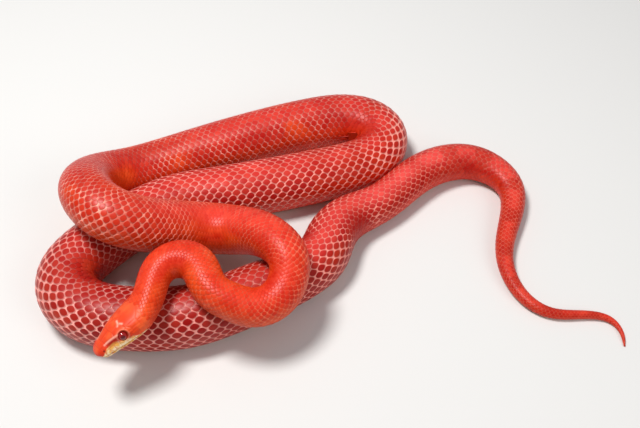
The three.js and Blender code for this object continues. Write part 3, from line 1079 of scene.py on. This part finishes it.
bellyPlates = {
    "start": 0.041,
    "throatEnd": 0.001,  # this far behind the first plate the scales stop closing round the throat
    "tipGap": 0.003,
    "vent": 0.97,
    "cuts": 13,
    "outline": 0,
    "overlap": 1.3,
    "sideways": (0.012, 0.008),  # share of the girth under the scales, before and behind the vent
    "tilt": 0.00024,
    "dome": 0.0,
    "thickness": 0.00018,
    "sunk": 0.00002,
    "tones": (0.4, 0.9),
}
unwrap = {"patch": 0.0014, "marginAlong": 0.01, "marginAround": 0.02}  # shares of the UV map
lowest = 0.00001  # height over the floor that no scale or plate goes under


def domedShell():  # template of one scale: reach 1 along x and y, height in z to be shaped later
    bm = bmesh.new()
    bmesh.ops.create_cone(bm, cap_ends=True, cap_tris=False, segments=shell["sides"],
                          radius1=shell["foot"], radius2=1.0, depth=1)
    top = max(bm.faces, key=lambda face: face.calc_center_median().z)
    for width in shell["insets"]:
        bmesh.ops.inset_region(bm, faces=[top], thickness=width)
    bmesh.ops.poke(bm, faces=[top])
    return bm


def broadPlate():  # template of one belly plate: a slab cut into strips across
    bm = bmesh.new()
    bmesh.ops.create_cube(bm, size=2)
    across = [edge for edge in bm.edges if abs(edge.verts[0].co.y - edge.verts[1].co.y) > 1]
    bmesh.ops.subdivide_edges(bm, edges=across, cuts=bellyPlates["cuts"], use_grid_fill=True)
    return bm


def shapedTemplate(bm, look):  # reach along and across and height at each vertex of one small shape
    bm.verts.ensure_lookup_table()
    shape = np.array([vert.co for vert in bm.verts])
    a, b = shape[:, 0], shape[:, 1]
    radius = np.maximum(np.abs(a), np.abs(b))
    if look["outline"]:
        radius, turn = np.hypot(a, b), np.arctan2(b, a)
        a = radius * power(np.cos(turn), 2 / look["outline"])
        b = radius * power(np.sin(turn), 2 / look["outline"])
    tilt = look["tilt"] * (a + 1) / 2
    top = tilt + look["dome"] * (1 - np.minimum(radius, 1) ** 2) - look["sunk"]
    return a, b, np.where(shape[:, 2] > 0, top, tilt - look["thickness"])


def copiedMesh(name, bm, points):  # one mesh with a copy of the small shape for each row of points
    count, size = points.shape[:2]
    corners = np.array([vert.index for face in bm.faces for vert in face.verts])
    corners = (corners + (np.arange(count) * size)[:, None]).reshape(-1)
    lengths = np.tile([len(face.verts) for face in bm.faces], count)
    starts = np.concatenate([[0], np.cumsum(lengths)[:-1]])
    bm.free()
    mesh = bpy.data.meshes.new(name)
    mesh.vertices.add(count * size)
    mesh.vertices.foreach_set("co", points.reshape(-1).astype(np.float32))
    mesh.loops.add(len(corners))
    mesh.loops.foreach_set("vertex_index", corners.astype(np.int32))
    mesh.polygons.add(len(lengths))
    mesh.polygons.foreach_set("loop_start", starts.astype(np.int32))
    mesh.update(calc_edges=True)
    mesh.validate()
    return mesh, corners


def coatPiece(name, bm, look, spots):  # copies of one small shape, each bent to the skin at its own place
    a, b, rise = shapedTemplate(bm, look)
    along, share = spots["along"][:, None], spots["share"][:, None]
    pointAlong = along + spots["halfLength"][:, None] * a
    pointShare = share + spots["halfWidth"][:, None] * b / girthAt(along)
    points, normals = skinFrame(pointAlong, angleAt(pointShare))
    out = spots["height"][:, None] * rise - coatDepth(pointAlong)
    points = points + normals * out[..., None]
    points[..., 2] = np.maximum(points[..., 2], lowest)
    mesh, corners = copiedMesh(name, bm, points)
    layers = {
        "along": pointAlong / bodyLength,
        "share": (pointShare + 0.5) % 1 - 0.5,
        "tone": spots["tone"][:, None] + 0 * pointAlong,
        "net": spots["net"][:, None] + 0 * pointAlong,
    }
    for layer, values in layers.items():
        made = mesh.attributes.new(layer, "FLOAT", "POINT")
        made.data.foreach_set("value", values.reshape(-1).astype(np.float32))
    local = np.stack(np.broadcast_arrays(a, b, 0 * pointAlong), axis=-1)
    made = mesh.attributes.new("local", "FLOAT_VECTOR", "POINT")
    made.data.foreach_set("vector", local.reshape(-1).astype(np.float32))
    # each copy keeps a small patch of its own on an unwrap of the whole skin
    marginU, marginV = unwrap["marginAlong"], unwrap["marginAround"]
    u = marginU + (1 - 2 * marginU) * along / bodyLength + unwrap["patch"] * a
    v = marginV + (1 - 2 * marginV) * ((share + 0.5) % 1) + unwrap["patch"] * b
    uv = np.stack([u, v], axis=-1).reshape(-1, 2)[corners]
    mesh.uv_layers.new(name="OFBake").data.foreach_set("uv", uv.reshape(-1).astype(np.float32))
    piece = placePiece(mesh, scaleSurface)
    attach(piece, "root")
    return piece


def rowsAt(along):
    return int(readTable(along, scales["rows"])) // 2 * 2 + 1


def stepAt(along):
    return float(readTable(along, scales["steps"]))


def heightAt(step):
    least = scales["leastHeight"]
    return least + (1 - least) * np.minimum(step / scales["fullStep"], 1)


def scaleSpots():  # along, share, step and width of a row at every scale
    spots = []
    along, line = scales["start"], 0
    while along < bodyLength - scales["tipGap"]:
        step, count = stepAt(along), rowsAt(along)
        overPlates = along > bellyPlates["start"] + bellyPlates["throatEnd"]
        reach = count // 2 if overPlates else int(count / scales["beltShare"] / 2)
        for row in range(-reach, reach + 1):
            share = row * scales["beltShare"] / count
            if (row + line) % 2 == 0 and along > readTable(np.abs(share), scales["napeEdge"]):
                spots.append((along, share, step, scales["beltShare"] / count))
        along += step / 2
        line += 1
    return np.array(spots).T


def makeScales():
    along, share, step, belt = scaleSpots()
    chance = np.random.default_rng(scales["seed"])
    count = len(along)
    stretch = stretchAt(along, angleAt(share))
    outer, outerPower = scales["outerBend"]
    shortened = np.maximum(1, scales["innerBend"] / stretch)
    bent = np.where(stretch > 1, (outer / stretch) ** outerPower, shortened)
    spots = {
        "along": along,
        "share": share,
        "halfLength": step / 2 * scales["length"] * bent * chance.uniform(*scales["lengths"], count),
        "halfWidth": belt * girthAt(along) * scales["width"] * chance.uniform(*scales["widths"], count),
        "height": heightAt(step) * chance.uniform(*scales["heights"], count),
        "tone": chance.uniform(*scales["tones"], count),
        "net": netStrength(along, share, stretch),
    }
    for name, start, end, slot in scalePieces:
        chosen = (along >= start) & (along < end)
        piece = coatPiece(name, domedShell(), scales, {key: values[chosen] for key, values in spots.items()})
    print("scales made,", count)


def makeBellyPlates():
    spots = []
    along, edge = bellyPlates["start"], scales["beltShare"] / 2
    half = 0.5 - edge
    whole, paired = bellyPlates["sideways"]
    while along < bodyLength - bellyPlates["tipGap"]:
        step = stepAt(along)
        if along < bellyPlates["vent"]:
            spots.append((along, 0.5, step, half + whole))
        else:
            spots.append((along, 0.5 - half / 2, step, half / 2 + paired))
            spots.append((along + step / 2, 0.5 + half / 2, step, half / 2 + paired))
        along += step
    along, share, step, belt = np.array(spots).T
    chance = np.random.default_rng(scales["seed"])
    values = {
        "along": along,
        "share": share,
        "halfLength": step / 2 * bellyPlates["overlap"],
        "halfWidth": belt * girthAt(along),
        "height": heightAt(step),
        "tone": chance.uniform(*bellyPlates["tones"], len(along)),
        "net": np.zeros(len(along)),
    }
    piece = coatPiece("bellyPlates", broadPlate(), bellyPlates, values)
    print("belly plates made,", len(along))


makeScales()
makeBellyPlates()

# floor, light and camera
room = {
    "floorSize": 3.0,
    "floorDrop": 0.0002,
    "floorColour": linear(226, 224, 220),
    "floorRoughness": 0.9,
    "airColour": (0.9, 0.93, 1.0, 1.0),
    "airStrength": 0.3,
    "keyPlace": (-0.3, 0.05, 0.9),
    "keySize": 0.28,
    "keyPower": 8.2,
    "fillPlace": (0.6, -0.5, 0.6),
    "fillSize": 0.6,
    "fillPower": 2.2,
}
view = {"elevation": 50, "distance": 0.45, "lens": 45, "sensor": 36, "nearest": 0.01}


def makeFloor():
    bm = bmesh.new()
    bmesh.ops.create_grid(bm, x_segments=1, y_segments=1, size=room["floorSize"] / 2)
    material, _, shader = newMaterial("floorPaper")
    shader.inputs["Base Color"].default_value = room["floorColour"]
    shader.inputs["Roughness"].default_value = room["floorRoughness"]
    floor = meshPiece("floor", material, bm)
    floor.location.z = -room["floorDrop"]


def lightRoom():
    bpy.context.scene.view_settings.view_transform = "Standard"
    world = bpy.data.worlds.new("studio")
    bpy.context.scene.world = world
    world.use_nodes = True
    background = world.node_tree.nodes["Background"]
    background.inputs["Color"].default_value = room["airColour"]
    background.inputs["Strength"].default_value = room["airStrength"]


def softLight(name, location, size, watts):  # a round lamp that faces the middle of the floor
    light = bpy.data.lights.new(name, "AREA")
    light.shape = "DISK"
    light.size = size
    light.energy = watts
    lamp = bpy.data.objects.new(name, light)
    lamp.location = location
    lamp.rotation_euler = (-Vector(location)).to_track_quat("-Z", "Y").to_euler()
    bpy.context.scene.collection.objects.link(lamp)
    return lamp


def placeCamera():
    aim = Vector((-form["centre"][0], -form["centre"][1], 0))
    lean = math.radians(view["elevation"])
    data = bpy.data.cameras.new("camera")
    data.lens = view["lens"]
    data.sensor_width = view["sensor"]
    data.clip_start = view["nearest"]
    camera = bpy.data.objects.new("camera", data)
    camera.location = aim + Vector((0, -math.cos(lean), math.sin(lean))) * view["distance"]
    camera.rotation_euler = (math.pi / 2 - lean, 0, 0)
    bpy.context.scene.collection.objects.link(camera)
    bpy.context.scene.camera = camera


makeFloor()
lightRoom()
softLight("keyLight", room["keyPlace"], room["keySize"], room["keyPower"])
fill = softLight("fillLight", room["fillPlace"], room["fillSize"], room["fillPower"])
fill.visible_glossy = False  # it leaves no highlight of its own
placeCamera()
print("floor, light and camera placed")
